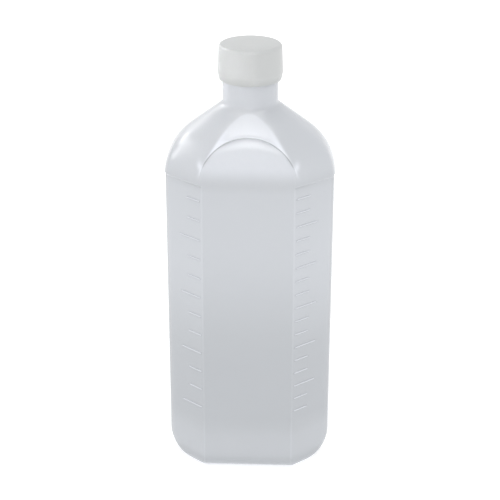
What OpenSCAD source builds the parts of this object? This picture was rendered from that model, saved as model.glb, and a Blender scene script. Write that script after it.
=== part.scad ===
// Flat octagonal screw-cap bottle with raised scale marks.
// The bottle stands on Z = 0, its axis is Z and its wide front panel faces -Y.

/* [Body] */
// Width of the body across its side panels
body_w = 82.5; // [72:0.5:99]
// Depth of the body across its front and back panels
body_d = 51.2; // [46:0.2:62]
// Width of the flat front and back panels
panel_w = 44.4; // [36:0.2:50]
// Width of the flat side panels
side_w = 18.6; // [15:0.2:24]
// Thickness of the moulded wall
wall = 0.9; // [0.7:0.05:1.5]
// Height of the base's central push-up
push_up = 2.4; // [1:0.1:4]
// Corner radius below each side panel
side_foot_r = 13.4; // [9:0.2:16]
// Corner radius below the sloping corner panels
corner_foot_r = 4.2; // [3.4:0.1:7]
// Corner radius below the front and back panels
front_foot_r = 5.7; // [4.6:0.1:8]

/* [Shoulder] */
// Height of the moulded ledge above which the shoulder starts
ledge_z = 155.7; // [125:0.1:187]
// How far the shoulder stands out at the ledge
ledge_step = 0.4; // [0.2:0.05:0.8]
// Rise of the shoulder from the ledge to the foot of the neck
shoulder_h = 34; // [31:0.1:41]
// Slope of the shoulder above the side panels, in degrees below level
side_slope = 37; // [34:0.5:40]
// Radius that turns the side panels into the shoulder
side_arc_r = 30.5; // [25:0.5:34]
// Radius that turns the front and back panels into the shoulder
front_arc_r = 18.7; // [15:0.1:21]
// Radius of the arch that ends the front and back panels
arch_r = 23.8; // [22.6:0.1:26]
// Height of the arch's top above the ledge
arch_top_h = 24; // [22:0.1:26]

/* [Neck] */
// Outer diameter of the plain neck below the cap
neck_od = 26.8; // [26.2:0.1:28]
// Bore of the neck
neck_bore = 22.6; // [18.5:0.1:23]
// Height of the neck from its foot to its lip
neck_h = 26.4; // [22:0.1:31]
// Outer diameter under the thread
thread_root_d = 25.8; // [25:0.1:26]
// Height of the neck thread above its root
thread_h = 1; // [0.7:0.05:1.1]
// Rise of the thread in one turn
thread_lead = 4; // [3.4:0.1:4.8]
// Turns of thread on the neck
thread_turns = 1.5; // [1:0.25:1.75]

/* [Cap] */
// Outer diameter of the cap at its widest
cap_od = 31.3; // [30.8:0.1:37]
// Outer diameter of the cap at its top
cap_top_d = 30.2; // [29.8:0.1:30.8]
// Outer diameter of the cap's lower rim
cap_rim_d = 30; // [29.6:0.1:30.8]
// Thickness of the cap's top
cap_top_t = 1.5; // [1:0.1:2.5]
// Height of the cap
cap_h = 17.3; // [14.5:0.1:20]
// Rounding of the cap's top edge
cap_edge_r = 1.8; // [0.8:0.1:2.2]
// Radial gap between the neck thread and the cap's bore
thread_gap = 0.3; // [0.2:0.05:0.4]
// Thickness of the sealing disc
liner_t = 1; // [0.6:0.1:1.5]
// Gap on each side of the sealing disc
seal_gap = 0.1; // [0.05:0.05:0.2]

/* [Scale marks] */
// Distance from the ledge down to the top mark right of the front panel
fine_drop = 6.3; // [4:0.1:9]
// Spacing of the marks right of the front panel
fine_pitch = 7.2; // [5:0.1:7.4]
// Number of marks right of the front panel
fine_count = 17; // [4:1:17]
// Distance from the ledge down to the top mark left of the front panel
coarse_drop = 8.1; // [4:0.1:9]
// Spacing of the marks left of the front panel
coarse_pitch = 10.2; // [6:0.1:10.6]
// Number of marks left of the front panel
coarse_count = 12; // [3:1:12]
// Length of a short mark
mark_len = 8.8; // [5:0.2:10.6]
// Length of a long mark
long_mark_len = 13.6; // [11:0.2:14.6]
// Width of a mark along the bottle's height
mark_w = 0.9; // [0.6:0.1:1.4]
// How far a mark stands out of the wall
mark_h = 0.35; // [0.2:0.05:0.6]

/* [Hidden] */

milky = [0.84, 0.86, 0.87, 0.75];
white = [0.87, 0.87, 0.87];
foam = [0.95, 0.95, 0.93];

half_w = body_w / 2;
half_d = body_d / 2;
half_panel = panel_w / 2;
half_side = side_w / 2;
neck_r = neck_od / 2;
bore_r = neck_bore / 2;
neck_z = ledge_z + shoulder_h;
lip_z = neck_z + neck_h;

// The ledge is a short ramp, so that the step in the wall has no sharp undercut
ledge_h = 0.5;

// Flat corner panel between the front panel's edge and the side panel's edge
corner_run = [half_w - half_panel, half_d - half_side];
corner_n = [corner_run[1], corner_run[0]] / norm(corner_run);
corner_dist = corner_n * [half_panel, half_d];

// Rounding powers: the side edges are soft, the front panel's edges are crisp
side_edge_p = 26;
front_edge_p = 110;

// The front and back panels end in an arch. Its top runs up to the neck in a straight slope.
arch_top_z = ledge_z + arch_top_h;
arch_z = arch_top_z - arch_r;
front_slope = atan((neck_z - arch_top_z) / (half_d - neck_r));

// The section changes from eight-sided to oval between these heights above the ledge
oval_from = 7.1;
oval_to = shoulder_h - 1.3;

// Directions around the axis, closer together at the panels' edges
side_edge_a = atan2(half_side, half_w);
front_edge_a = atan2(half_d, half_panel);
edge_step = 3;
wide_step = (front_edge_a - side_edge_a - 5 * edge_step) / 3;
quarter_angles = concat(
    [0, side_edge_a * 0.45],
    [for (k = [-1:4]) side_edge_a + (k - 0.5) * edge_step],
    [for (k = [1:2]) side_edge_a + 3.5 * edge_step + wide_step * k],
    [for (k = [-1:1]) front_edge_a + k * edge_step * 0.8],
    [for (k = [1:3]) front_edge_a + edge_step + (90 - front_edge_a - edge_step) * k / 4]);
quarter_count = len(quarter_angles);
angles = [for (q = [0:3]) for (k = [0:quarter_count - 1])
    q % 2 == 0 ? q * 90 + quarter_angles[k]
    : k == 0 ? q * 90 : (q + 1) * 90 - quarter_angles[quarter_count - k]];

// Foot: a quarter circle of radius r that turns the wall in towards the base
function foot(half, r, z, inset) =
    z >= r ? half - inset
    : half - r + sqrt(max(0, pow(r - inset, 2) - pow(r - z, 2)));

// Shoulder: an arc of radius r that leaves the wall upright, then a straight slope to the neck
function shoulder(half, r, slope, z, inset) =
    let (arc_z = neck_z - (half - r + r * sin(slope) - neck_r) * tan(slope) - r * cos(slope),
         ri = r - inset,
         slope_x = half - r + ri * sin(slope),
         slope_z = arc_z + ri * cos(slope))
    z <= arc_z ? half - inset
    : z < slope_z ? half - r + sqrt(max(0, ri * ri - pow(z - arc_z, 2)))
    : slope_x + (slope_z - z) / tan(slope);

function smooth(t) = let (u = min(1, max(0, t))) u * u * (3 - 2 * u);
function blend_norm(a, b, p) = pow(pow(a, p) + pow(b, p), 1 / p);

// Distance from the axis of the arched panel and its slope: a pipe of the arch's radius that
// leans back to the neck, kept inside the cone that its slope makes around the neck
function arch_radius(c, s, z, inset) =
    let (m = tan(front_slope), ra = arch_r - inset, d = half_d - inset,
         lift = z - arch_z - d * m,
         qa = c * c + s * s * m * m, qb = lift * s * m,
         disc = qb * qb - qa * (lift * lift - ra * ra),
         cone = neck_r - inset + (neck_z - z) / m)
    disc < 0 || s < 0.1 ? 0
    : min(d / s, (half_panel - inset) / max(c, 0.001), (sqrt(disc) - qb) / qa, cone);

// Distance of the wall from the axis in direction a at height z; inset moves it inwards
function body_radius(a, z, inset) =
    let (c = abs(cos(a)), s = abs(sin(a)),
         is_foot = z < half_w,
         step = z > ledge_z + ledge_h / 2 ? ledge_step : 0,
         full_w = half_w + step - inset,
         full_d = half_d - inset,
         w = is_foot ? foot(half_w, side_foot_r, z, inset)
             : shoulder(half_w + step, side_arc_r, side_slope, z, inset),
         d = is_foot ? foot(half_d, front_foot_r, z, inset)
             : shoulder(half_d, front_arc_r, front_slope, z, inset),
         corner_at = is_foot ? foot(corner_dist, corner_foot_r, z, inset)
             : corner_dist + step - inset,
         across = is_foot ? 1 : full_w / w,
         along = is_foot ? 1 : full_d / d,
         corner = (corner_n[0] * c * across + corner_n[1] * s * along) / corner_at,
         eight = 1 / blend_norm(blend_norm(c / w, corner, side_edge_p), s / d, front_edge_p),
         oval = 1 / norm([c / w, s / d]),
         share = smooth((z - ledge_z - oval_from) / (oval_to - oval_from)),
         lobe = eight + (oval - eight) * share)
    z < ledge_z ? lobe : max(lobe, arch_radius(c, s, z, inset));

// Height of row v in direction a: 0 at the ledge, 1 along the arch's edge, 2 at the neck
arch_low_h = 8.4;
function row_z(a, v, top_z) =
    let (x = half_d * cos(a) / max(0.2, abs(sin(a))),
         edge_z = arch_z + max(sqrt(max(0, arch_r * arch_r - x * x)), arch_low_h),
         low_z = ledge_z + ledge_h)
    v <= 1 ? low_z + (edge_z - low_z) * v : edge_z + (top_z - edge_z) * (v - 1);

function at(a, r, z) = [r * cos(a), r * sin(a), z];
function ring(z, inset) = [for (a = angles) at(a, body_radius(a, z, inset), z)];
function shrunk(row, share, z) = [for (p = row) [p[0] * share, p[1] * share, z]];

// A closed skin through a stack of rings with equal numbers of points
module skin(rings) {
    n = len(rings[0]);
    rows = len(rings);
    points = concat([for (row = rings) each row],
        [[0, 0, rings[0][0][2]], [0, 0, rings[rows - 1][0][2]]]);
    sides = [for (j = [0:rows - 2]) for (i = [0:n - 1])
        let (a = j * n + i, b = j * n + (i + 1) % n)
        each [[a, a + n, b + n], [a, b + n, b]]];
    bottom = [for (i = [0:n - 1]) [rows * n, i, (i + 1) % n]];
    top = [for (i = [0:n - 1]) [rows * n + 1, (rows - 1) * n + (i + 1) % n, (rows - 1) * n + i]];
    polyhedron(points = points, faces = concat(sides, bottom, top), convexity = 6);
}

// Rows of the foot lie closer together near the base, where the wall turns fastest
foot_shares = [for (k = [0:5]) 1 - cos(18 * k)];
shoulder_rows = [0, 0.35, 0.7, 1, 1.12, 1.25, 1.4, 1.55, 1.7, 1.85, 2];

// The bottle's outline as one solid: inset 0 is the outside, inset wall the hollow
module shell(inset, floor_z, top_z) {
    push_share = 0.6;
    rim_share = 0.86;
    base_ring = ring(floor_z, inset);
    rings = concat(
        [shrunk(base_ring, push_share, floor_z + push_up), shrunk(base_ring, rim_share, floor_z)],
        [for (t = foot_shares) ring(floor_z + (side_foot_r - floor_z) * t, inset)],
        [ring(ledge_z, inset)],
        [for (v = shoulder_rows) [for (a = angles)
            let (z = row_z(a, v, top_z)) at(a, body_radius(a, z, inset), z)]]);
    skin(rings);
}

// A helical rib. root and crest are radii; an inside thread has its crest nearer the axis.
// skip is how many of its turns are left out at the bottom.
rib_root_w = thread_lead * 0.42;
rib_crest_w = thread_lead * 0.24;
rib_sink = 0.4;
module thread_rib(root, crest, start_z, skip) {
    turns = thread_turns - skip;
    steps = ceil(turns * 24);
    run_out = 4;
    rings = [for (i = [0:steps])
        let (a = 360 * (skip + turns * i / steps), z = start_z + thread_lead * a / 360,
             share = min(1, (min(i, steps - i) + 0.4) / run_out),
             r = root + (crest - root) * share)
        [at(a, root, z - rib_root_w / 2), at(a, r, z - rib_crest_w / 2),
         at(a, r, z + rib_crest_w / 2), at(a, root, z + rib_root_w / 2)]];
    last = steps * 4;
    sides = [for (j = [0:steps - 1]) for (i = [0:3])
        let (a = j * 4 + i, b = j * 4 + (i + 1) % 4)
        each [[a, b, b + 4], [a, b + 4, a + 4]]];
    ends = [[3, 2, 1], [3, 1, 0], [last, last + 1, last + 2], [last, last + 2, last + 3]];
    faces = concat(sides, ends);
    inward = [for (f = faces) [f[2], f[1], f[0]]];
    polyhedron(points = [for (row = rings) each row],
        faces = crest < root ? inward : faces, convexity = 8);
}

// Sizes that the neck, the cap and the sealing disc share
thread_root_r = thread_root_d / 2;
thread_crest_r = thread_root_r + thread_h;
cap_bore_r = thread_crest_r + thread_gap;
cap_crest_r = thread_root_r + thread_gap;
lip_margin = 3;
neck_rib_z = lip_z - lip_margin - thread_turns * thread_lead;
cap_rib_z = neck_rib_z - thread_lead / 2;
cap_floor_z = lip_z + liner_t + 2 * seal_gap;
cap_bottom_z = cap_floor_z + cap_top_t - cap_h;

// The cap's rib starts above its rim, and the neck's collar stays below that rib
rim_margin = 0.5;
cap_rib_low_z = cap_bottom_z + rim_margin + rib_root_w / 2;
cap_rib_skip = max(0, (cap_rib_low_z - cap_rib_z) / thread_lead);
cap_rib_start_z = cap_rib_z + cap_rib_skip * thread_lead;
collar_z = min(cap_bottom_z + 1.2, cap_rib_start_z - rib_root_w / 2 - thread_gap);
round_facets = 96;

// Raised bar on the corner panel right (side 1) or left (side -1) of the front panel
module mark(z, length, side) {
    sink = 0.3;
    gap = 1.2;
    mirror([side > 0 ? 0 : 1, 0, 0])
        translate([half_panel, -half_d, z])
            rotate([0, 0, atan2(corner_run[1], corner_run[0])])
                translate([gap, -mark_h, -mark_w / 2])
                    cube([length, mark_h + sink, mark_w]);
}

// Every third mark of a row is a long one
module mark_row(drop, pitch, count, side) {
    for (k = [0:count - 1])
        mark(ledge_z - drop - pitch * k, k % 3 == 2 ? long_mark_len : mark_len, side);
}

module bottle_body() {
    overlap = 2.5;
    neck_top_gap = 0.15;
    bore_top_gap = 0.35;
    color(milky) difference() {
        union() {
            shell(0, 0, neck_z - neck_top_gap);
            translate([0, 0, neck_z - overlap])
                cylinder(r = neck_r, h = collar_z - neck_z + overlap, $fn = round_facets);
            translate([0, 0, neck_z]) cylinder(r = thread_root_r, h = neck_h, $fn = round_facets);
            thread_rib(thread_root_r - rib_sink, thread_crest_r, neck_rib_z, 0);
            mark_row(fine_drop, fine_pitch, fine_count, 1);
            mark_row(coarse_drop, coarse_pitch, coarse_count, -1);
        }
        shell(wall, wall, neck_z - bore_top_gap);
        translate([0, 0, neck_z - overlap])
            cylinder(r = bore_r, h = neck_h + overlap + 1, $fn = round_facets);
    }
}

// The cap's inner top rests on the sealing disc, which rests on the neck's lip
module screw_cap() {
    belly_h = cap_h * 0.22;
    rim_turn = [0.35, 0.8];
    edge = [for (k = [0:5])
        [cap_top_d / 2 - cap_edge_r * (1 - cos(18 * k)), cap_h - cap_edge_r * (1 - sin(18 * k))]];
    outline = concat(
        [[cap_bore_r, 0], [cap_rim_d / 2 - rim_turn[0], 0], [cap_rim_d / 2, rim_turn[1]],
         [cap_od / 2, belly_h]],
        edge,
        [[0, cap_h], [0, cap_h - cap_top_t], [cap_bore_r, cap_h - cap_top_t]]);
    color(white) union() {
        translate([0, 0, cap_bottom_z]) rotate_extrude($fn = round_facets) polygon(outline);
        thread_rib(cap_bore_r + rib_sink, cap_crest_r, cap_rib_z, cap_rib_skip);
    }
}

module cap_liner() {
    side_gap = 0.15;
    color(foam) translate([0, 0, lip_z + seal_gap])
        cylinder(r = cap_bore_r - side_gap, h = liner_t, $fn = round_facets);
}

bottle_body();
screw_cap();
cap_liner();
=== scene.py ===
"""The looks of a flat eight-sided screw-cap bottle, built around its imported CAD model.

Sizes are in millimetres, as on a mould maker's drawing, and turn into the frame's metres when a
piece is made. The bottle stands on z = 0 with its neck along z and its wide front panel facing -y.
"""

import logging
import math
from dataclasses import dataclass, replace
from enum import Enum
from typing import Any

import bpy
import numpy as np
from mathutils import Matrix, Vector


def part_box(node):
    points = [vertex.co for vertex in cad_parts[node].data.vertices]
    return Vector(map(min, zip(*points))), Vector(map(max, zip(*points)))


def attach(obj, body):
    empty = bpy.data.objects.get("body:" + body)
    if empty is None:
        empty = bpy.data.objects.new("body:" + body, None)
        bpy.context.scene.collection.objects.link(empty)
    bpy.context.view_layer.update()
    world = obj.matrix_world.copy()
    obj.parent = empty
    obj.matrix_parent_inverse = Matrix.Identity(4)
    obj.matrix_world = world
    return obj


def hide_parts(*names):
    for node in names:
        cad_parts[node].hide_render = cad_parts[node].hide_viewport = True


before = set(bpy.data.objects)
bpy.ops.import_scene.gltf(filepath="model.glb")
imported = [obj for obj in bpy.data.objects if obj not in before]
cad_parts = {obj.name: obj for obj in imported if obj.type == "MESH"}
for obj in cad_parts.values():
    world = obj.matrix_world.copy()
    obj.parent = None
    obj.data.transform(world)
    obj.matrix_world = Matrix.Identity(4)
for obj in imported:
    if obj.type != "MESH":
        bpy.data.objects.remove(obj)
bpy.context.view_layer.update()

LOG = logging.getLogger("bottle")
MM = 0.001
TURN = 2 * math.pi


class Body(Enum):
    """Moving bodies of the frame that a piece can ride on."""

    BOTTLE = "bottle"
    LINER = "liner"
    CAP = "cap"


# ------------------------ shape arithmetic


def smooth_step(t: np.ndarray) -> np.ndarray:
    """Rise from 0 to 1 with level ends: 3t^2 - 2t^3, held outside 0 to 1.

    Args:
        t: Positions along the rise.

    Returns:
        The risen share at each position.
    """
    u = np.clip(t, 0.0, 1.0)
    return u * u * (3.0 - 2.0 * u)


def bell(t: np.ndarray) -> np.ndarray:
    """Bell curve exp(-t^2), 1 in the middle and nearly gone where t is 2."""
    return np.exp(-(t**2))


def soft_max(a: np.ndarray, b: np.ndarray, blend: float) -> np.ndarray:
    """Larger of two values, with a fillet where they are closer than blend.

    The fillet adds h^2 * blend / 4, where h falls from 1 where a equals b to 0 where they
    differ by blend.

    Args:
        a: First values.
        b: Second values.
        blend: Width of the fillet, in the values' own unit.

    Returns:
        The filleted larger value.
    """
    h = np.maximum(blend - np.abs(a - b), 0.0) / blend
    return np.maximum(a, b) + h * h * blend / 4.0


def soft_min(a: np.ndarray, b: np.ndarray, blend: float) -> np.ndarray:
    """Smaller of two values with a fillet; the mirror image of soft_max."""
    return -soft_max(-a, -b, blend)


def joined_rates(a: np.ndarray, b: np.ndarray, power: float) -> np.ndarray:
    """Power mean of two inverse distances, (a^p + b^p)^(1/p), which rounds the corner between two
    flat panels: the higher the power, the crisper the corner."""
    return (a**power + b**power) ** (1.0 / power)


def helix_rib(
    angle: np.ndarray, z: np.ndarray, start: float, lead: float, turns: float, height: float
) -> np.ndarray:
    """How far a helical thread stands out of its root.

    On turn n the rib's middle is at start + lead * (angle / turn + n). Its flank falls with
    distance from there, and the rib runs out at both ends.

    Args:
        angle: Directions.
        z: Heights.
        start: Height of the rib's middle where it begins.
        lead: Rise in one turn.
        turns: Number of turns.
        height: Height of the crest above the root.

    Returns:
        Heights above the root.
    """
    crest_half, flank_width, run_out = 0.12 * lead, 0.09 * lead, 0.15
    out = np.zeros(np.broadcast(angle, z).shape)
    for turn in range(math.ceil(turns)):
        along = angle / TURN + turn
        away = np.abs(z - start - lead * along)
        flank = smooth_step((crest_half + flank_width - away) / flank_width)
        ends = smooth_step(np.minimum(along, turns - along) / run_out)
        out = np.maximum(out, height * flank * ends)
    return out


def rounded_outline(corners: list[tuple[float, float, float]], steps: int = 6) -> np.ndarray:
    """Open outline through corners, each turned by an arc of its own radius.

    An arc touches both legs at radius * tan(turn / 2) from its corner and is drawn by turning
    the first leg's normal into the second's.

    Args:
        corners: (distance from axis, height, corner radius) in millimetres, in order.
        steps: Points drawn along each arc.

    Returns:
        Points as an array of (distance, height).
    """
    place = np.array([c[:2] for c in corners], float)
    out = [place[0]]
    for before, here, after, corner in zip(place[:-2], place[1:-1], place[2:], corners[1:-1]):
        to_before = (before - here) / np.linalg.norm(before - here)
        to_after = (after - here) / np.linalg.norm(after - here)
        opening = math.acos(float(np.clip(to_before @ to_after, -1.0, 1.0)))
        radius = corner[2]
        if radius <= 0.0 or math.pi - opening < 0.01:
            out.append(here)
            continue
        reach = radius / math.tan(opening / 2.0)
        middle = (to_before + to_after) / np.linalg.norm(to_before + to_after)
        centre = here + middle * radius / math.sin(opening / 2.0)
        first = here + to_before * reach - centre
        last = here + to_after * reach - centre
        t = np.linspace(0.0, 1.0, steps)[:, None]
        sweep = math.pi - opening
        arc = (np.sin((1.0 - t) * sweep) * first + np.sin(t * sweep) * last) / math.sin(sweep)
        out.extend(centre + arc)
    out.append(place[-1])
    return np.array(out)


# ------------------------ meshes


def make_piece(name: str, points: np.ndarray, faces: list[Any], smooth: bool = True) -> bpy.types.Object:
    """Make a mesh object whose place is in its points.

    Args:
        name: Name of the piece.
        points: Points in millimetres, one row each.
        faces: Point numbers of each face, outward by the right-hand rule.
        smooth: True to shade the faces as one curved surface.

    Returns:
        The new object, at the origin.
    """
    mesh = bpy.data.meshes.new(name)
    mesh.from_pydata((points * MM).tolist(), [], faces)
    mesh.validate()
    mesh.polygons.foreach_set("use_smooth", np.full(len(mesh.polygons), smooth))
    mesh.update()
    piece = bpy.data.objects.new(name, mesh)
    bpy.context.scene.collection.objects.link(piece)
    return piece


def closed_skin(x: np.ndarray, y: np.ndarray, z: np.ndarray) -> tuple[np.ndarray, list[Any]]:
    """Points and faces of a skin whose columns run round the axis and whose rows run along it.

    Row j, column i is one point; neighbouring rows are joined by quads, and the first and last
    row each close on one pole at their own mean. Rows that start at the bottom outside face out.

    Args:
        x: Distances across, shape (rows, columns).
        y: Depths, same shape.
        z: Heights, same shape.

    Returns:
        The points, and the faces as lists of point numbers.
    """
    rows, columns = x.shape
    grid = np.arange(rows * columns).reshape(rows, columns)
    points = np.stack([x, y, z], axis=-1).reshape(-1, 3)
    poles = np.stack([points[grid[0]].mean(0), points[grid[-1]].mean(0)])
    right = np.roll(grid, -1, axis=1)
    quads = np.stack([grid[:-1], right[:-1], right[1:], grid[1:]], axis=-1).reshape(-1, 4)
    first = np.stack([np.full(columns, len(points)), right[0], grid[0]], axis=-1)
    last = np.stack([np.full(columns, len(points) + 1), grid[-1], right[-1]], axis=-1)
    return np.vstack([points, poles]), quads.tolist() + first.tolist() + last.tolist()


def paint(piece: bpy.types.Object, name: str, values: np.ndarray) -> None:
    """Store one number per point on a piece for its material to read.

    Args:
        piece: The piece.
        name: Name of the attribute.
        values: One number per point.
    """
    layer = piece.data.attributes.new(name, "FLOAT", "POINT")
    layer.data.foreach_set("value", np.ascontiguousarray(values, dtype=np.float32))


def place_piece(
    piece: bpy.types.Object, body: Body, slot: str, material: bpy.types.Material, *nodes: str
) -> bpy.types.Object:
    """Dress a piece, let it ride on a body and let it stand for CAD nodes.

    Args:
        piece: The finished mesh object.
        body: Body it moves with.
        slot: Material slot of the record that it takes its finish from; not used.
        material: Its material.
        nodes: CAD nodes that it replaces.

    Returns:
        The same piece.
    """
    piece.data.materials.append(material)
    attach(piece, body.value)
    if nodes:
        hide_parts(*nodes)
    LOG.info("%s: %d points on %s", piece.name, len(piece.data.vertices), body.value)
    return piece


# ------------------------ materials


def linear(colour: str) -> tuple[float, float, float, float]:
    """Turn an sRGB hex colour into linear light.

    Args:
        colour: Six hex digits after a hash.

    Returns:
        Linear red, green, blue and an alpha of 1.
    """
    parts = [int(colour[k : k + 2], 16) / 255.0 for k in (1, 3, 5)]
    r, g, b = (p / 12.92 if p <= 0.04045 else ((p + 0.055) / 1.055) ** 2.4 for p in parts)
    return r, g, b, 1.0


def add_node(
    tree: bpy.types.NodeTree, kind: str, settings: dict[Any, Any], links: dict[Any, Any] | None = None
) -> bpy.types.Node:
    """Add a node with its settings and links.

    Args:
        tree: Node tree to add to.
        kind: Node type, such as ShaderNodeTexNoise.
        settings: Input values by socket name or number, and node properties by attribute name.
        links: Output sockets to join, by the name or number of the input they feed.

    Returns:
        The new node.
    """
    node = tree.nodes.new(kind)
    properties = {k: v for k, v in settings.items() if isinstance(k, str) and k not in node.inputs}
    for name, value in properties.items():
        setattr(node, name, value)
    for name, value in settings.items():
        if name not in properties:
            node.inputs[name].default_value = value
    for name, source in (links or {}).items():
        tree.links.new(source, node.inputs[name])
    return node


@dataclass(frozen=True)
class MilkyPlastic:
    """Unpigmented polyolefin: light goes some way in and spreads, so it looks milky, not white.

    Fields:
        name: Name of the material.
        thin: Colour at the light end of the depth scale, which carries painted light.
        wall: Colour of a plain wall.
        deep: Colour at the dark end of the depth scale, which carries painted shade.
        roughness: Gloss of the moulded skin.
        gloss: Strength of its reflections.
        grain_mm: Size of the mould's fine texture.
        ripple_mm: Size of the slow waves and clouds that moulding leaves in a wall.
        ripple: Strength of those waves.
        cloud: Strength of the clouds.
        glow: Emission as a share of its own colour: painted light in place of light through the wall.
    """

    name: str
    thin: str
    wall: str
    deep: str
    roughness: float
    gloss: float
    grain_mm: float
    ripple_mm: float
    ripple: float
    cloud: float
    glow: float = 0.0

    def build(self) -> bpy.types.Material:
        """Make the material: a colour that follows the depth attribute, slow ripples and grain.

        The depth attribute runs from 0 at the light end over 0.5 for a plain wall to 1 at the dark
        end; most of its changes are painted light and shade.

        Returns:
            The material.
        """
        material = bpy.data.materials.new(self.name)
        material.use_nodes = True
        tree = material.node_tree
        tree.nodes.clear()
        place = add_node(tree, "ShaderNodeTexCoord", {}).outputs["Object"]
        # The depth attribute, which carries painted light and shade, and faint clouds in it set how
        # milky or how grey a spot looks.
        depth = add_node(tree, "ShaderNodeAttribute", {"attribute_name": "depth"}).outputs["Fac"]
        slow = add_node(
            tree, "ShaderNodeTexNoise", {"Scale": 1.0 / (self.ripple_mm * MM), "Detail": 2.0},
            {"Vector": place},
        ).outputs["Fac"]
        cloudy = add_node(
            tree, "ShaderNodeMath",
            {"operation": "MULTIPLY_ADD", 1: self.cloud, 2: -0.5 * self.cloud}, {0: slow},
        ).outputs[0]
        share = add_node(
            tree, "ShaderNodeMath", {"operation": "ADD", "use_clamp": True}, {0: depth, 1: cloudy}
        ).outputs[0]
        ramp = add_node(tree, "ShaderNodeValToRGB", {}, {"Fac": share})
        stops = ramp.color_ramp.elements
        stops[0].color, stops[1].color = linear(self.thin), linear(self.deep)
        stops.new(0.5).color = linear(self.wall)
        # Slow waves bend the long reflections a little, and the mould's grain takes their edge off.
        fine = add_node(
            tree, "ShaderNodeTexNoise", {"Scale": 1.0 / (self.grain_mm * MM), "Detail": 3.0},
            {"Vector": place},
        ).outputs["Fac"]
        waves = add_node(
            tree, "ShaderNodeBump", {"Strength": self.ripple, "Distance": 0.5 * MM}, {"Height": slow}
        ).outputs["Normal"]
        skin = add_node(
            tree, "ShaderNodeBump", {"Strength": 0.04, "Distance": 0.05 * MM},
            {"Height": fine, "Normal": waves},
        ).outputs["Normal"]
        # Emission, on for the hollow only, is painted light in place of light through the wall.
        shader = add_node(
            tree, "ShaderNodeBsdfPrincipled",
            {"Roughness": self.roughness, "IOR": 1.51, "Specular IOR Level": self.gloss,
             "Emission Color": linear(self.wall), "Emission Strength": self.glow},
            {"Base Color": ramp.outputs["Color"], "Normal": skin},
        )
        add_node(tree, "ShaderNodeOutputMaterial", {}, {"Surface": shader.outputs["BSDF"]})
        return material


def plain_material(name: str, colour: str, roughness: float, glow: float) -> bpy.types.Material:
    """Make a smooth opaque material for the stage.

    Args:
        name: Name of the material.
        colour: sRGB hex colour.
        roughness: Gloss, from 0 for a mirror to 1 for chalk.
        glow: Light that it gives off by itself, as a lit table does.

    Returns:
        The material.
    """
    material = bpy.data.materials.new(name)
    material.use_nodes = True
    tree = material.node_tree
    tree.nodes.clear()
    shader = add_node(
        tree, "ShaderNodeBsdfPrincipled",
        {"Base Color": linear(colour), "Roughness": roughness, "Emission Color": linear(colour),
         "Emission Strength": glow},
    )
    add_node(tree, "ShaderNodeOutputMaterial", {}, {"Surface": shader.outputs["BSDF"]})
    return material


# ------------------------ the bottle


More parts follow.
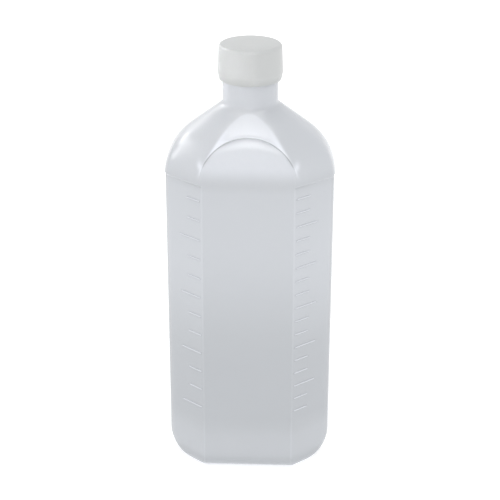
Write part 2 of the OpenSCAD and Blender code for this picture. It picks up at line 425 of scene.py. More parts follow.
@dataclass
class BottleWall:
    """The blow-moulded bottle: base, eight-sided wall, shoulder, arched panels, neck and thread.

    The sizes that the frame knows come from it in from_frame.
    """

    half_d: float
    lip_z: float
    widest: float
    half_w: float = 41.25
    half_panel: float = 22.2
    half_side: float = 9.3
    wall: float = 0.9
    push_up: float = 2.4
    side_foot_r: float = 13.4
    corner_foot_r: float = 4.2
    front_foot_r: float = 5.7
    ledge_z: float = 155.7
    ledge_h: float = 0.5
    ledge_step: float = 0.4
    shoulder_h: float = 34.0
    side_slope: float = math.radians(37.0)
    side_arc_r: float = 30.5
    front_arc_r: float = 18.7
    arch_r: float = 23.8
    arch_top_h: float = 24.0
    pillow_depth: float = 0.9
    pillow_run: float = 5.5
    neck_r: float = 13.4
    bore_r: float = 11.3
    thread_root_r: float = 12.9
    thread_h: float = 1.0
    thread_lead: float = 4.0
    thread_turns: float = 1.5
    lip_margin: float = 3.0
    collar_z: float = 202.7
    columns: int = 264

    @classmethod
    def from_frame(cls) -> "BottleWall":
        """Take the depth, the height and the width over the ledge from the CAD node."""
        _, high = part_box("bottle_body")
        return cls(half_d=high.y / MM, lip_z=high.z / MM, widest=high.x / MM - 0.002)

    @property
    def neck_z(self) -> float:
        """Height of the neck's foot."""
        return self.ledge_z + self.shoulder_h

    @property
    def arch_z(self) -> float:
        """Height of the centre of the arch that ends the front and back panels."""
        return self.ledge_z + self.arch_top_h - self.arch_r

    @property
    def front_slope(self) -> float:
        """Slope from the arch's top to the neck's foot, in radians below level."""
        rise = self.shoulder_h - self.arch_top_h
        return math.atan(rise / (self.half_d - self.neck_r))

    def corner_panel(self) -> tuple[float, float, float]:
        """Direction and distance of the flat corner panel between the front and side panels.

        Returns:
            The panel's outward direction as x and y, and its distance from the axis.
        """
        run = np.array([self.half_w - self.half_panel, self.half_d - self.half_side])
        out = run[::-1] / np.linalg.norm(run)
        return float(out[0]), float(out[1]), float(out @ [self.half_panel, self.half_d])

    def angles(self) -> np.ndarray:
        """Directions of the columns, crowded where two panels meet.

        The columns per degree are 1 plus a bell around each panel edge; the running sum of that
        density is inverted by interpolation.
        """
        side_edge = math.atan2(self.half_side, self.half_w)
        front_edge = math.atan2(self.half_d, self.half_panel)
        quarter = side_edge, front_edge
        edges = np.array([s * q + t for t in (0.0, math.pi) for s in (-1, 1) for q in quarter])
        fine = np.linspace(0.0, TURN, 7200, endpoint=False)
        away = np.abs((fine[:, None] - edges + math.pi) % TURN - math.pi)
        density = 1.0 + 2.2 * bell(away / math.radians(3.0)).sum(1)
        total = np.concatenate([[0.0], np.cumsum(density)])
        share = np.linspace(0.0, total[-1], self.columns, endpoint=False)
        return np.interp(share, total, np.linspace(0.0, TURN, 7201))

    def foot(self, half: float, radius: float, z: np.ndarray, inset: float) -> np.ndarray:
        """Half size near the base: a quarter circle that turns the wall in under it.

        Args:
            half: Half size of the upright wall.
            radius: Radius of the quarter circle.
            z: Heights.
            inset: Distance to keep inside the outer skin.

        Returns:
            Half size at each height.
        """
        inner = max(radius - inset, 0.05)
        drop = np.clip(radius - z, 0.0, inner)
        return half - radius + np.sqrt(inner**2 - drop**2)

    def shoulder(self, half: float, radius: float, slope: float, z: np.ndarray, inset: float) -> np.ndarray:
        """Half size above the wall: an arc that leaves it upright, then a straight slope.

        Args:
            half: Half size of the upright wall.
            radius: Radius of the arc.
            slope: Slope of the straight part, in radians below level.
            z: Heights.
            inset: Distance to keep inside the outer skin.

        Returns:
            Half size at each height.
        """
        tip = half - radius + radius * math.sin(slope)
        arc_z = self.neck_z - (tip - self.neck_r) * math.tan(slope) - radius * math.cos(slope)
        inner = radius - inset
        slope_x = half - radius + inner * math.sin(slope)
        slope_z = arc_z + inner * math.cos(slope)
        lift = np.clip(z - arc_z, 0.0, inner)
        arc = half - radius + np.sqrt(inner**2 - lift**2)
        return np.where(z < slope_z, arc, slope_x + (slope_z - z) / math.tan(slope))

    def arch_distance(self, c: np.ndarray, s: np.ndarray, z: np.ndarray) -> np.ndarray:
        """Distance outside the arch's edge, measured in the front panel's plane.

        It is the length from the arch's centre to the panel point, less the arch's radius.

        Args:
            c: Absolute cosine of each direction.
            s: Absolute sine of each direction.
            z: Heights.

        Returns:
            Distances, negative on the panel.
        """
        x = self.half_d * c / np.maximum(s, 0.2)
        return np.hypot(x, z - self.arch_z) - self.arch_r

    def arch_radius(self, c: np.ndarray, s: np.ndarray, z: np.ndarray, inset: float) -> np.ndarray:
        """Distance of the arched panel and the slope above it from the axis.

        The slope is a pipe of the arch's radius that leans back to the neck. Along a direction it
        is met where a quadratic in the distance is zero. The panel in front of it bulges, so that
        it curves back towards the arch's edge.

        Args:
            c: Absolute cosine of each direction.
            s: Absolute sine of each direction.
            z: Heights.
            inset: Distance to keep inside the outer skin.

        Returns:
            Distances, 0 where a direction misses the pipe.
        """
        m = math.tan(self.front_slope)
        ra = self.arch_r - inset
        depth = self.half_d - inset
        lift = z - self.arch_z - depth * m
        qa = c * c + s * s * m * m
        qb = lift * s * m
        disc = qb * qb - qa * (lift * lift - ra * ra)
        pipe = (np.sqrt(np.maximum(disc, 0.0)) - qb) / qa
        cone = self.neck_r - inset + (self.neck_z - z) / m
        near = np.clip((self.arch_distance(c, s, z) + self.pillow_run) / self.pillow_run, 0.0, 1.5)
        fade = smooth_step((z - self.arch_z - 2.0) / 12.0)
        panel = (depth - self.pillow_depth * near**2 * fade) / np.maximum(s, 0.02)
        flank = (self.half_panel - inset) / np.maximum(c, 0.001)
        body = np.minimum(np.minimum(soft_min(panel, pipe, 0.5), flank), cone)
        return np.where((disc < 0.0) | (s < 0.1) | (z < self.ledge_z), 0.0, body)

    def lobe_radius(self, angle: np.ndarray, z: np.ndarray, inset: float) -> np.ndarray:
        """Distance of the eight-sided wall and its rounded shoulder from the axis.

        Flat panels are joined by power means, and the section changes into an oval on the way
        up the shoulder.

        Args:
            angle: Directions.
            z: Heights.
            inset: Distance to keep inside the outer skin.

        Returns:
            Distances from the axis.
        """
        c, s = np.abs(np.cos(angle)), np.abs(np.sin(angle))
        nx, ny, away = self.corner_panel()
        low = z < self.half_w
        step = self.ledge_step * smooth_step((z - self.ledge_z) / self.ledge_h + 0.5)
        top_half = self.half_w + self.ledge_step
        rise_w = self.shoulder(top_half, self.side_arc_r, self.side_slope, z, inset)
        rise_w = rise_w - self.ledge_step + step
        rise_d = self.shoulder(self.half_d, self.front_arc_r, self.front_slope, z, inset)
        w = np.where(low, self.foot(self.half_w, self.side_foot_r, z, inset), rise_w)
        d = np.where(low, self.foot(self.half_d, self.front_foot_r, z, inset), rise_d)
        foot_corner = self.foot(away, self.corner_foot_r, z, inset)
        corner_at = np.where(low, foot_corner, away + step - inset)
        across = np.where(low, 1.0, (self.half_w + step - inset) / np.maximum(w, 1.0))
        along = np.where(low, 1.0, (self.half_d - inset) / np.maximum(d, 1.0))
        corner = (nx * c * across + ny * s * along) / corner_at
        w, d = np.maximum(w, 1.0), np.maximum(d, 1.0)
        eight = 1.0 / joined_rates(joined_rates(c / w, corner, 26.0), s / d, 110.0)
        oval = 1.0 / np.hypot(c / w, s / d)
        oval_from, oval_to = 7.1, self.shoulder_h - 1.3
        share = smooth_step((z - self.ledge_z - oval_from) / (oval_to - oval_from))
        return eight + (oval - eight) * share

    def radius(self, angle: np.ndarray, z: np.ndarray, inset: float) -> np.ndarray:
        """Distance of the wall from the axis: the larger of the lobe and the arched panel.

        Args:
            angle: Directions.
            z: Heights.
            inset: Distance to keep inside the outer skin.

        Returns:
            Distances from the axis.
        """
        c, s = np.abs(np.cos(angle)), np.abs(np.sin(angle))
        lobe = self.lobe_radius(angle, z, inset)
        arch = self.arch_radius(c, s, z, inset)
        off_edge = self.arch_distance(c, s, z)
        crease_from, crease_blend, panel_share = 0.6, 0.7, 0.999
        creased = np.where(off_edge > crease_from, soft_max(lobe, arch, crease_blend), np.maximum(lobe, arch))
        in_width = self.half_panel * s > self.half_d * c * panel_share
        on_panel = (off_edge < 0.0) & (arch > 0.0) & in_width
        upper = np.where(on_panel, np.minimum(lobe, arch), creased)
        wall = np.where(z < self.ledge_z, lobe, upper)
        wall = np.minimum(wall, self.widest / np.maximum(c, 0.1))
        neck = (self.neck_r if inset == 0.0 else self.bore_r) + 0.0 * z
        return np.where(z < self.neck_z - 12.0, wall, soft_max(wall, neck, 1.6))

    def row_height(self, angle: np.ndarray, v: np.ndarray, top_z: float) -> np.ndarray:
        """Height of shoulder row v: 0 at the ledge, 1 along the arch's edge, 2 at the top.

        Args:
            angle: Directions of the columns.
            v: Row numbers as a column of values.
            top_z: Height of row 2.

        Returns:
            Heights, one row of columns for each v.
        """
        x = self.half_d * np.cos(angle) / np.maximum(0.2, np.abs(np.sin(angle)))
        edge = np.sqrt(np.maximum(self.arch_r**2 - x * x, 0.0))
        edge_z = self.arch_z + soft_max(edge, 8.4 + 0.0 * edge, 3.0)
        low_z = self.ledge_z + self.ledge_h
        lower = low_z + (edge_z - low_z) * v
        upper = edge_z + (top_z - edge_z) * (v - 1.0)
        return np.where(v <= 1.0, lower, upper)

    def under_height(self, share: np.ndarray) -> np.ndarray:
        """Height of the underside above the standing ring: a push-up with a faint cone on it.

        Args:
            share: Distance from the axis as a share of the base's own radius.

        Returns:
            Heights.
        """
        dome = self.push_up * (1.0 - smooth_step((share - 0.56) / 0.3))
        return dome + 0.5 * (1.0 - share) * (dome > 0.0)

    def outside(self, angle: np.ndarray) -> tuple[np.ndarray, np.ndarray]:
        """Rows of the outer skin, from the middle of the base to the lip.

        Args:
            angle: Directions of the columns.

        Returns:
            Distances from the axis and heights, both of shape (rows, columns).
        """
        flat = 0.0 * angle
        base = self.radius(angle, flat, 0.0)
        push = [0.04, 0.2, 0.38, 0.52, 0.6, 0.64, 0.68, 0.73, 0.78, 0.82, 0.86, 0.93]
        share = np.array(push)[:, None]
        under_r, under_z = base * share, self.under_height(share) + flat
        quarter = np.linspace(0.0, 0.5 * math.pi, 17)
        foot_z = self.side_foot_r * (1.0 - np.cos(quarter))
        wall_z = np.linspace(self.side_foot_r + 6.0, self.ledge_z - 4.0, 14)
        ledge_z = self.ledge_z + np.array([-1.5, -0.5, -0.25, 0.0, 0.25])
        low_z = np.concatenate([foot_z, wall_z, ledge_z])[:, None] + flat
        shoulder_v = np.concatenate([
            np.linspace(0.0, 0.7, 14), np.linspace(0.74, 0.94, 9), [0.965, 0.98, 0.99, 1.0],
            [1.015, 1.03, 1.06, 1.1], np.linspace(1.15, 1.95, 22)])[:, None]
        rise_z = self.row_height(angle, shoulder_v, self.neck_z)
        neck_z = self.neck_z + np.array([-0.2, 0.2, 0.5, 0.9, 1.4, 2.2, 4.0, 7.0, 10.0, 12.4])
        neck_z = neck_z[:, None] + flat
        body_z = np.vstack([low_z, rise_z, neck_z])
        body_r = self.radius(angle, body_z, 0.0)
        collar = np.array([[0.0, 0.0], [0.25, 0.1], [0.4, 0.3], [0.5, 0.5]])
        collar_r = self.neck_r - collar[:, :1] + flat
        collar_z = self.collar_z - 0.1 + collar[:, 1:] + flat
        thread_z = np.linspace(self.collar_z + 0.8, self.lip_z - 1.4, 44)[:, None] + flat
        start = self.lip_z - self.lip_margin - self.thread_turns * self.thread_lead
        rib = helix_rib(angle, thread_z, start, self.thread_lead, self.thread_turns, self.thread_h)
        thread_r = self.thread_root_r + rib
        lip = rounded_outline([
            (self.thread_root_r, self.lip_z - 1.2, 0.0), (self.thread_root_r, self.lip_z, 0.5),
            (self.bore_r, self.lip_z, 0.35), (self.bore_r, self.lip_z - 1.2, 0.0)], 5)
        lip_r, lip_z = lip[:, :1] + flat, lip[:, 1:] + flat
        return (np.vstack([under_r, body_r, collar_r, thread_r, lip_r]),
                np.vstack([under_z, body_z, collar_z, thread_z, lip_z]))

    def inside(self, angle: np.ndarray) -> tuple[np.ndarray, np.ndarray]:
        """Rows of the hollow, from the bore down to the middle of the floor.

        Args:
            angle: Directions of the columns.

        Returns:
            Distances from the axis and heights, both of shape (rows, columns).
        """
        flat = 0.0 * angle
        inset = self.wall
        bore_z = np.linspace(self.lip_z - 2.0, self.neck_z + 3.0, 10)[:, None] + flat
        shoulder_v = np.concatenate([np.linspace(1.95, 1.04, 18), np.linspace(1.0, 0.0, 14)])[:, None]
        rise_z = self.row_height(angle, shoulder_v, self.neck_z - 0.5)
        wall_z = np.linspace(self.ledge_z - 3.0, self.side_foot_r + 4.0, 8)
        quarter = np.linspace(0.5 * math.pi, 0.0, 12)
        foot_z = inset + (self.side_foot_r - inset) * (1.0 - np.cos(quarter))
        low_z = np.concatenate([wall_z, foot_z])[:, None] + flat
        body_z = np.vstack([rise_z, low_z])
        body_r = self.radius(angle, body_z, inset)
        base = self.radius(angle, flat + inset, inset)
        share = np.array([0.93, 0.86, 0.8, 0.74, 0.68, 0.62, 0.54, 0.4, 0.2, 0.04])[:, None]
        floor_r, floor_z = base * share, inset + self.under_height(share) + flat
        return (np.vstack([self.bore_r + 0.0 * bore_z, body_r, floor_r]),
                np.vstack([bore_z, body_z, floor_z]))

    def build(self, material: bpy.types.Material, lit: bpy.types.Material) -> bpy.types.Object:
        """Make the bottle as one closed skin: outside, over the lip, then the hollow.

        Args:
            material: Material of the outside.
            lit: Material of the hollow, whose painted glow stands in for light through the wall.

        Returns:
            The bottle piece.
        """
        angle = self.angles()
        outer_r, outer_z = self.outside(angle)
        inner_r, inner_z = self.inside(angle)
        r, z = np.vstack([outer_r, inner_r]), np.vstack([outer_z, inner_z])
        points, faces = closed_skin(r * np.cos(angle), r * np.sin(angle), z)
        piece = make_piece("bottle_shell", points, faces)
        # Painted light and shade, stored as the depth attribute that sets the wall's colour.
        depth = self.plastic_tone_and_painted_shading(angle, r, z)
        paint(piece, "depth", np.append(depth.ravel(), [depth[0].mean(), depth[-1].mean()]))
        place_piece(piece, Body.BOTTLE, "bottle_plastic", material, "bottle_body")
        mesh = piece.data
        mesh.materials.append(lit)
        corner, start = np.empty(len(mesh.loops), np.int32), np.empty(len(mesh.polygons), np.int32)
        mesh.loops.foreach_get("vertex_index", corner)
        mesh.polygons.foreach_get("loop_start", start)
        in_hollow = corner[start + 1] >= outer_r.size
        mesh.polygons.foreach_set("material_index", in_hollow.astype(np.int32))
        return piece

    def plastic_tone_and_painted_shading(self, angle: np.ndarray, r: np.ndarray, z: np.ndarray) -> np.ndarray:
        """Painted light and shade on the wall: 0.5 for a plain wall, less where it is painted lighter.

        The wall is painted lighter with height, a painted shading from above; painted light and
        shade at the arch, the base and the panels' edges add to that.

        Args:
            angle: Directions of the columns.
            r: Distances from the axis.
            z: Heights.

        Returns:
            One value per grid point.
        """
        c, s = np.abs(np.cos(angle)) + 0.0 * z, np.abs(np.sin(angle)) + 0.0 * z
        x, y = c * r, s * r
        front = smooth_step((s - 0.6) / 0.2)
        # Painted shading: the wall lightens with height, and the neck is painted a touch lighter.
        wall = 0.53 - 0.12 * smooth_step((z - 55.0) / 70.0)
        neck = -0.02 * smooth_step((z - self.neck_z + 1.0) / 2.0)
        arch = self.painted_shading_near_arch(x, z, front, self.arch_distance(c, s, z))
        edges = self.painted_shading_at_edges(x, y, z, front)
        return np.clip(wall + neck + arch + self.painted_shading_near_base(z) + edges, 0.0, 1.0)

    def painted_shading_near_arch(
        self, x: np.ndarray, z: np.ndarray, front: np.ndarray, off_edge: np.ndarray
    ) -> np.ndarray:
        """Painted light and shade on the shoulder: painted light on the panel, a painted dark line
        along the arch's edge and a painted highlight in a fan above.

        The fan's half width grows with the root of the distance below the neck. It is brightest
        along the arch and towards the arch's ends, where a small bell adds a painted highlight spot.

        Args:
            x: Distances from the middle plane.
            z: Heights.
            front: 1 on the front and back, 0 on the sides.
            off_edge: Distances outside the arch's edge.

        Returns:
            Change of depth.
        """
        above = z - self.ledge_z
        rise = smooth_step((above - 2.0) / 8.0)
        below_neck = smooth_step((self.neck_z - 0.5 - z) / 1.5)
        fall = np.maximum(self.neck_z - 0.8 - z, 0.0)
        fan_half = 4.3 * np.sqrt(fall) + 0.09 * fall - 1.2
        fan = smooth_step((fan_half - x) / 1.6 + 0.5) * smooth_step(off_edge / 0.3)
        fan *= below_neck * front * rise
        # Painted highlight over the fan, painted light on the panel and a faint one on the lobes.
        fan_highlight = 0.12 + 0.1 * bell(off_edge / 4.0) + 0.14 * smooth_step((x - 9.0) / 6.0)
        panel = smooth_step(-off_edge / 0.5) * front * rise
        lobe = rise * (1.0 - fan) * (1.0 - panel) * below_neck
        # Painted shade: a thin dark line along the arch's edge.
        edge_shade_line = bell(off_edge / 0.3) * front * smooth_step((above - 8.0) / 4.0)
        # A painted highlight spot at each end of the arch.
        from_end = np.hypot(x - self.half_panel - 1.0, (above - 9.8) / 1.6)
        light = 0.12 * panel + fan_highlight * fan + 0.02 * lobe + 0.35 * bell(from_end / 1.3) * front
        return 0.2 * edge_shade_line - light

    def painted_shading_near_base(self, z: np.ndarray) -> np.ndarray:
        """Painted light and shade low down: painted light over the foot, a painted shade band at
        the turn under it and a painted bright rim at the bottom.
        """
        light = 0.07 * smooth_step((30.0 - z) / 14.0) + 0.22 * smooth_step((2.6 - z) / 2.2)
        return 0.07 * bell((z - 4.5) / 2.5) - light

    def painted_shading_at_edges(
        self, x: np.ndarray, y: np.ndarray, z: np.ndarray, front: np.ndarray
    ) -> np.ndarray:
        """Painted light and shade along the wall's edges and the ledge.

        A band of painted shade lies at the ledge, the side panels and their edges are painted darker,
        and a thin painted shadow line runs under the ledge. The corner panels and the front panel's
        edges are painted brighter.

        Args:
            x: Distances across.
            y: Distances in depth.
            z: Heights.
            front: 1 on the front and back, 0 on the sides.

        Returns:
            Change of depth.
        """
        above = z - self.ledge_z
        below = smooth_step(-above)
        side = smooth_step((x / self.half_w - 0.975) / 0.015)
        on_front = smooth_step((y / self.half_d - 0.985) / 0.01)
        on_corner = (1.0 - on_front) * (1.0 - side)
        near_side = smooth_step((x / self.half_w - 0.955) / 0.03)
        # Painted shade: a band at the ledge, the side panels and their edges, and a line under the ledge.
        painted_shade = 0.04 * bell(above / 3.0) + 0.05 * side * below
        painted_shade += 0.1 * bell((y - self.half_side) / 1.2) * near_side * below
        inner = smooth_step((self.half_panel + 11.0 - x) / 8.0)
        painted_shade += 0.08 * bell((above + 0.6) / 0.5) * on_corner * inner
        # Painted light on the corner panels and along the front panel's edges.
        painted_light = 0.03 * on_corner * smooth_step(1.0 - np.abs(z - 95.0) / 60.0)
        painted_light += 0.06 * bell((x - self.half_panel) / 0.3) * front * below
        return painted_shade - painted_light


@dataclass
class ScaleMarks:
    """The raised scale beside the front panel: soft bars on the corner panels.

    Fields:
        wall: The bottle they stand on.
        drop: Distance from the ledge down to the top mark.
        pitch: Spacing.
        count: Number of marks.
        side: 1 for the right corner panel, -1 for the left.
        name: Name of the piece.
    """

    wall: BottleWall
    drop: float
    pitch: float
    count: int
    side: int
    name: str
    short: float = 8.8
    long: float = 13.6
    gap: float = 1.2
    width: float = 0.9
    height: float = 0.35
    sunk: float = 0.3

    def bar(self, length: float) -> tuple[np.ndarray, list[Any]]:
        """A soft bar along its first axis, standing out along its second.

        It is a superellipsoid: half its cube is signed powers of the sine and cosine of two
        angles, with a low power along the bar so that its ends are short.

        Args:
            length: Length of the bar.

        Returns:
            Points (along, out, up) and faces.
        """
        around = np.linspace(0.0, TURN, 16, endpoint=False)
        along = np.linspace(-0.5 * math.pi, 0.5 * math.pi, 13)[1:-1, None]
        power = 0.8
        ring = np.abs(np.cos(along)) ** 0.25
        out = ring * np.sign(np.cos(around)) * np.abs(np.cos(around)) ** power
        up = ring * np.sign(np.sin(around)) * np.abs(np.sin(around)) ** power
        run = np.sign(np.sin(along)) * np.abs(np.sin(along)) ** 0.7 + 0.0 * out
        points, faces = closed_skin(up * 0.5, out * 0.5, run * 0.5)
        size = np.array([length, self.height + self.sunk, self.width])
        placed = points[:, [2, 1, 0]] * size
        placed[:, 1] += 0.5 * (self.height - self.sunk)
        placed[:, 0] += 0.5 * length
        return placed, [face[::-1] for face in faces]

    def build(self, material: bpy.types.Material) -> bpy.types.Object:
        """Make the row of marks: every third bar is long, and the row leans with its panel.

        The rounded top of a bar carries a painted highlight and its lower edge painted shade.

        Args:
            material: Material of the bars.

        Returns:
            The piece that holds the whole row.
        """
        points, faces, depth = [], [], []
        run = np.array([self.wall.half_w - self.wall.half_panel, self.wall.half_side - self.wall.half_d])
        along = run / np.linalg.norm(run)
        out = np.array(self.wall.corner_panel()[:2])
        start = np.array([self.wall.half_panel, self.wall.half_d])
        for k in range(self.count):
            bar, sides = self.bar(self.long if k % 3 == 2 else self.short)
            level = self.wall.ledge_z - self.drop - self.pitch * k
            place = start + (self.gap + bar[:, :1]) * along + bar[:, 1:2] * out
            x, y = self.side * place[:, 0], -place[:, 1]
            row = np.stack([x, y, level + bar[:, 2]], axis=-1)
            turned = sides if self.side > 0 else [face[::-1] for face in sides]
            faces.extend([[k * len(row) + n for n in face] for face in turned])
            points.append(row)
            # Painted highlight on the bar's upper half, painted shade along its lower edge.
            depth.append(0.3 + 0.32 * smooth_step((-bar[:, 2] - 0.1) / 0.2))
        piece = make_piece(self.name, np.vstack(points), faces)
        paint(piece, "depth", np.concatenate(depth))
        return place_piece(piece, Body.BOTTLE, "bottle_plastic", material)


# ------------------------ cap and sealing disc


@dataclass
class ScrewCap:
    """The smooth screw cap: a shallow barrel with a rounded top edge and a thread inside."""

    low_z: float
    top_z: float
    belly_r: float
    top_r: float = 15.1
    rim_r: float = 15.0
    bore_r: float = 14.2
    crest_r: float = 13.2
    top_t: float = 1.5
    edge_r: float = 1.8
    lead: float = 4.0
    turns: float = 1.5
    rib_z: float = 205.1
    columns: int = 192

    @classmethod
    def from_frame(cls) -> "ScrewCap":
        """Take the cap's height and width from its CAD node."""
        low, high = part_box("screw_cap")
        return cls(low_z=low.z / MM, top_z=high.z / MM, belly_r=high.x / MM)

    def build(self, material: bpy.types.Material) -> bpy.types.Object:
        """Make the cap: the outline is turned round the axis, and a helical rib is raised inside.

        Args:
            material: Material of the cap.

        Returns:
            The cap piece.
        """
        height = self.top_z - self.low_z
        inner_z = self.top_z - self.top_t
        outside = rounded_outline([
            (self.bore_r, self.low_z, 0.0), (self.rim_r - 0.15, self.low_z, 0.3),
            (self.rim_r + 0.15, self.low_z + 1.0, 0.8),
            (self.belly_r, self.low_z + 0.22 * height, 3.0),
            (self.top_r, self.top_z - 0.25, self.edge_r), (6.0, self.top_z, 10.0),
            (0.3, self.top_z, 0.0)], 9)
        bore_z = np.linspace(inner_z - 0.6, self.low_z + 0.5, 72)
        inside = np.vstack([
            [[0.3, inner_z], [5.0, inner_z], [10.0, inner_z], [self.bore_r - 0.5, inner_z],
             [self.bore_r - 0.1, inner_z - 0.15]],
            np.stack([self.bore_r + 0.0 * bore_z, bore_z], axis=-1)])
        outline = np.vstack([outside[1:], inside, [[self.bore_r + 0.05, self.low_z + 0.12]]])
        angle = np.linspace(0.0, TURN, self.columns, endpoint=False)
        r = outline[:, :1] + 0.0 * angle
        z = outline[:, 1:] + 0.0 * angle
        under_rows = 5
        is_bore = np.arange(len(outline)) >= len(outside) - 1 + under_rows
        rib = helix_rib(angle, z, self.rib_z, self.lead, self.turns, self.bore_r - self.crest_r)
        r = np.where(is_bore[:, None], r - rib, r)
        points, faces = self.tube_with_top(r, z, angle, len(outside) - 1)
        piece = make_piece("cap_shell", points, faces)
        # Painted shade: the cap darkens towards its lower rim.
        off_rim = points[:, 2] - self.low_z
        paint(piece, "depth", 0.5 + 0.12 * smooth_step((3.2 - off_rim) / 2.4))
        return place_piece(piece, Body.CAP, "cap_plastic", material, "screw_cap")

    def tube_with_top(
        self, r: np.ndarray, z: np.ndarray, angle: np.ndarray, top: int
    ) -> tuple[np.ndarray, list[Any]]:
        """Join the outline's rows into a closed cap with a pole on each side of its top.

        Args:
            r: Distances from the axis, one row for each outline point, rim outside first.
            z: Heights.
            angle: Directions of the columns.
            top: Number of the first row under the top.

        Returns:
            Points and faces.
        """
        rows, columns = r.shape
        grid = np.arange(rows * columns).reshape(rows, columns)
        points = np.stack([r * np.cos(angle), r * np.sin(angle), z], axis=-1).reshape(-1, 3)
        right = np.roll(grid, -1, axis=1)
        below = np.roll(grid, -1, axis=0)
        below_right = np.roll(right, -1, axis=0)
        quads = np.stack([grid, right, below_right, below], axis=-1)
        quads = np.delete(quads, top - 1, axis=0).reshape(-1, 4)
        poles = np.stack([points[grid[top - 1]].mean(0), points[grid[top]].mean(0)])
        over = np.stack([np.full(columns, len(points)), grid[top - 1], right[top - 1]], axis=-1)
        under = np.stack([np.full(columns, len(points) + 1), right[top], grid[top]], axis=-1)
        return np.vstack([points, poles]), quads.tolist() + over.tolist() + under.tolist()


@dataclass
class SealingDisc:
    """The foam disc that the cap presses on the lip: flat, with a soft edge and a pressed ring."""

    low_z: float
    top_z: float
    radius: float
    columns: int = 128

    @classmethod
    def from_frame(cls) -> "SealingDisc":
        """Take the disc's size from its CAD node."""
        low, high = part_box("cap_liner")
        return cls(low_z=low.z / MM, top_z=high.z / MM, radius=high.x / MM)

    def build(self, material: bpy.types.Material) -> bpy.types.Object:
        """Make the disc by turning a rounded outline; the lip leaves a ring 0.06 mm deep below.

        Args:
            material: Material of the disc.

        Returns:
            The disc piece.
        """
        low = np.array([0.3, 4.0, 8.0, 10.6, 11.0, 11.4, 12.0, 12.6, 13.0, 13.3])
        pressed = 0.06 * np.exp(-(((low - 12.0) / 0.8) ** 4))
        edge = rounded_outline([
            (13.4, self.low_z, 0.0), (self.radius, self.low_z, 0.3),
            (self.radius, self.top_z, 0.3), (0.3, self.top_z, 0.0)], 6)
        outline = np.vstack([np.stack([low, self.low_z + pressed], axis=-1), edge])
        angle = np.linspace(0.0, TURN, self.columns, endpoint=False)
        r, z = outline[:, :1], outline[:, 1:] + 0.0 * angle
        points, faces = closed_skin(r * np.cos(angle), r * np.sin(angle), z)
        piece = make_piece("sealing_disc", points, faces)
        paint(piece, "depth", np.full(len(points), 0.5))
        return place_piece(piece, Body.LINER, "liner_foam", material, "cap_liner")


# ------------------------ stage, light and camera


@dataclass(frozen=True)
class SoftBox:
    """A rectangular studio light that looks at the bottle.

    Fields:
        name: Name of the light.
        place: Where it stands, in metres.
        size: Width and height in metres.
        power: Watts.
        aim_z: Height that it looks at, in metres.
        spread: Angle of its beam in degrees, 180 without a grid.
        sheen_only: True for a light that shows as a reflection and doesn't brighten the wall.
    """

    name: str
    place: tuple[float, float, float]
    size: tuple[float, float]
    power: float
    aim_z: float = 0.17
    spread: float = 180.0
    sheen_only: bool = True

    def build(self) -> None:
        """Make the light and turn it to the bottle."""
        data = bpy.data.lights.new(self.name, "AREA")
        data.shape = "RECTANGLE"
        data.size, data.size_y = self.size
        data.energy = self.power
        data.spread = math.radians(self.spread)
        light = bpy.data.objects.new(self.name, data)
        bpy.context.scene.collection.objects.link(light)
        light.location = self.place
        aim = Vector((0.0, 0.0, self.aim_z)) - Vector(self.place)
        light.rotation_euler = aim.to_track_quat("-Z", "Y").to_euler()
        light.visible_camera = False
        light.visible_diffuse = not self.sheen_only


@dataclass(frozen=True)
class Camera:
    """The camera: a long lens that looks down at the bottle from in front, a little to the right.

    Fields:
        lens: Focal length in millimetres on a 36 mm sensor.
        distance: Distance to the point it looks at, in millimetres.
        aim_z: Height of that point on the bottle's axis, in millimetres.
        down: Angle below level, in degrees.
        turn: Angle that the camera stands to the right, in degrees.
        roll: Tilt about its own axis, in degrees.
    """

    lens: float = 102.94
    distance: float = 716.5
    aim_z: float = 111.99
    down: float = 23.78
    turn: float = 2.2
    roll: float = 0.11

    def build(self) -> None:
        """Make the camera and use it."""
        down, turn, roll = (math.radians(v) for v in (self.down, self.turn, self.roll))
        right = Vector((math.cos(turn), math.sin(turn), 0.0))
        ahead = Vector((-math.sin(turn), math.cos(turn), 0.0))
        look = ahead * math.cos(down) - Vector((0.0, 0.0, math.sin(down)))
        up = ahead * math.sin(down) + Vector((0.0, 0.0, math.cos(down)))
        x_axis = right * math.cos(roll) + up * math.sin(roll)
        y_axis = up * math.cos(roll) - right * math.sin(roll)
        place = Vector((0.0, 0.0, self.aim_z * MM)) - look * self.distance * MM
        data = bpy.data.cameras.new("camera")
        data.sensor_width = 36.0
        data.lens = self.lens
        data.clip_start = 0.01
        data.clip_end = 50.0
        camera = bpy.data.objects.new("camera", data)
        basis = Matrix((x_axis, y_axis, -look)).transposed().to_4x4()
        camera.matrix_world = Matrix.Translation(place) @ basis
        bpy.context.scene.collection.objects.link(camera)
        bpy.context.scene.camera = camera


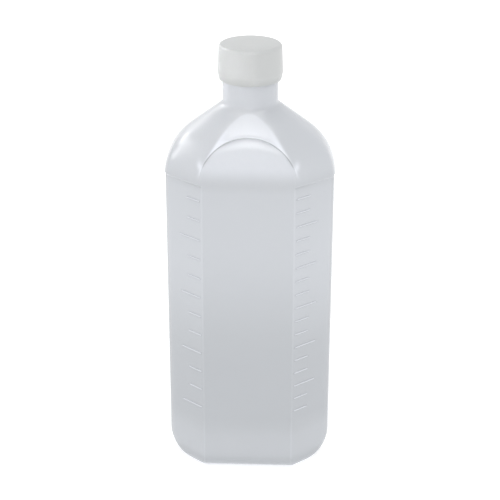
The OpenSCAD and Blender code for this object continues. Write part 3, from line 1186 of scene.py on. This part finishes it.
def build_stage() -> None:
    """Make the pale floor, the even white room light and the soft boxes."""
    scene = bpy.context.scene
    scene.view_settings.view_transform = "Standard"
    world = bpy.data.worlds.new("white_room")
    scene.world = world
    world.use_nodes = True
    background = world.node_tree.nodes["Background"].inputs
    background["Color"].default_value = (1.0, 1.0, 1.0, 1.0)
    background["Strength"].default_value = 1.0
    half_floor = 3.0 / MM
    corners = half_floor * np.array([[-1.0, -1.0, 0.0], [1.0, -1.0, 0.0], [1.0, 1.0, 0.0], [-1.0, 1.0, 0.0]])
    floor = make_piece("floor", corners, [[0, 1, 2, 3]], smooth=False)
    floor.data.materials.append(plain_material("white_sweep", "#F4F4F4", 0.9, 0.4))
    for box in (
        # The strip above shows in the slope over the arch, the next three in the left shoulder.
        SoftBox("overhead_strip", (0.0, -0.16, 1.05), (1.3, 0.26), 7.5),
        SoftBox("left_strip", (-0.84, 0.45, 0.53), (0.75, 0.17), 4.4),
        SoftBox("back_strip", (-0.48, 0.82, 0.42), (0.35, 0.12), 0.45),
        SoftBox("left_box", (-0.95, 0.14, 0.29), (0.26, 0.26), 2.1),
        # The front box shows below the arch's edge; the last two light the upper surfaces.
        SoftBox("front_box", (-0.02, -1.05, 0.5), (0.5, 0.38), 7.2),
        SoftBox("top_fill", (0.0, 0.1, 1.3), (1.0, 1.0), 2.0, sheen_only=False),
        SoftBox("cap_light", (-0.55, -0.3, 0.32), (0.06, 0.06), 0.004, 0.216, 10.0, False),
    ):
        box.build()


def main() -> None:
    """Build every piece, the light and the camera in order, and report each piece."""
    logging.basicConfig(level=logging.INFO, format="%(name)s %(message)s")
    Camera().build()
    # Cool and milky under a soft gloss, greyer where painted shade lies in the depth attribute.
    milky = MilkyPlastic(
        "milky_polyethylene", thin="#ECEFF6", wall="#B4B7BB", deep="#84878E",
        roughness=0.24, gloss=0.22, grain_mm=0.3, ripple_mm=30.0, ripple=0.05, cloud=0.02)
    # The same plastic from inside, with a painted glow in place of the light through the wall.
    hollow = replace(milky, name="milky_polyethylene_inside", roughness=0.3, glow=0.5)
    # Denser and more neutral, with a blurrier satin sheen.
    polypropylene = MilkyPlastic(
        "satin_polypropylene", thin="#D4D6D5", wall="#BEC0C0", deep="#9A9D9D",
        roughness=0.32, gloss=0.22, grain_mm=0.3, ripple_mm=30.0, ripple=0.03, cloud=0.03)
    # Chalk white and matt, with fine pores.
    foam = MilkyPlastic(
        "foamed_polyethylene", thin="#F4F4F0", wall="#E9E9E4", deep="#D0D0CA",
        roughness=0.7, gloss=0.2, grain_mm=0.4, ripple_mm=3.0, ripple=0.1, cloud=0.1)
    bottle_skin = milky.build()
    wall = BottleWall.from_frame()
    wall.build(bottle_skin, hollow.build())
    ScaleMarks(wall, drop=6.3, pitch=7.2, count=17, side=1, name="scale_right").build(bottle_skin)
    ScaleMarks(wall, drop=8.1, pitch=10.2, count=12, side=-1, name="scale_left").build(bottle_skin)
    ScrewCap.from_frame().build(polypropylene.build())
    SealingDisc.from_frame().build(foam.build())
    build_stage()


if __name__ == "__main__":
    main()
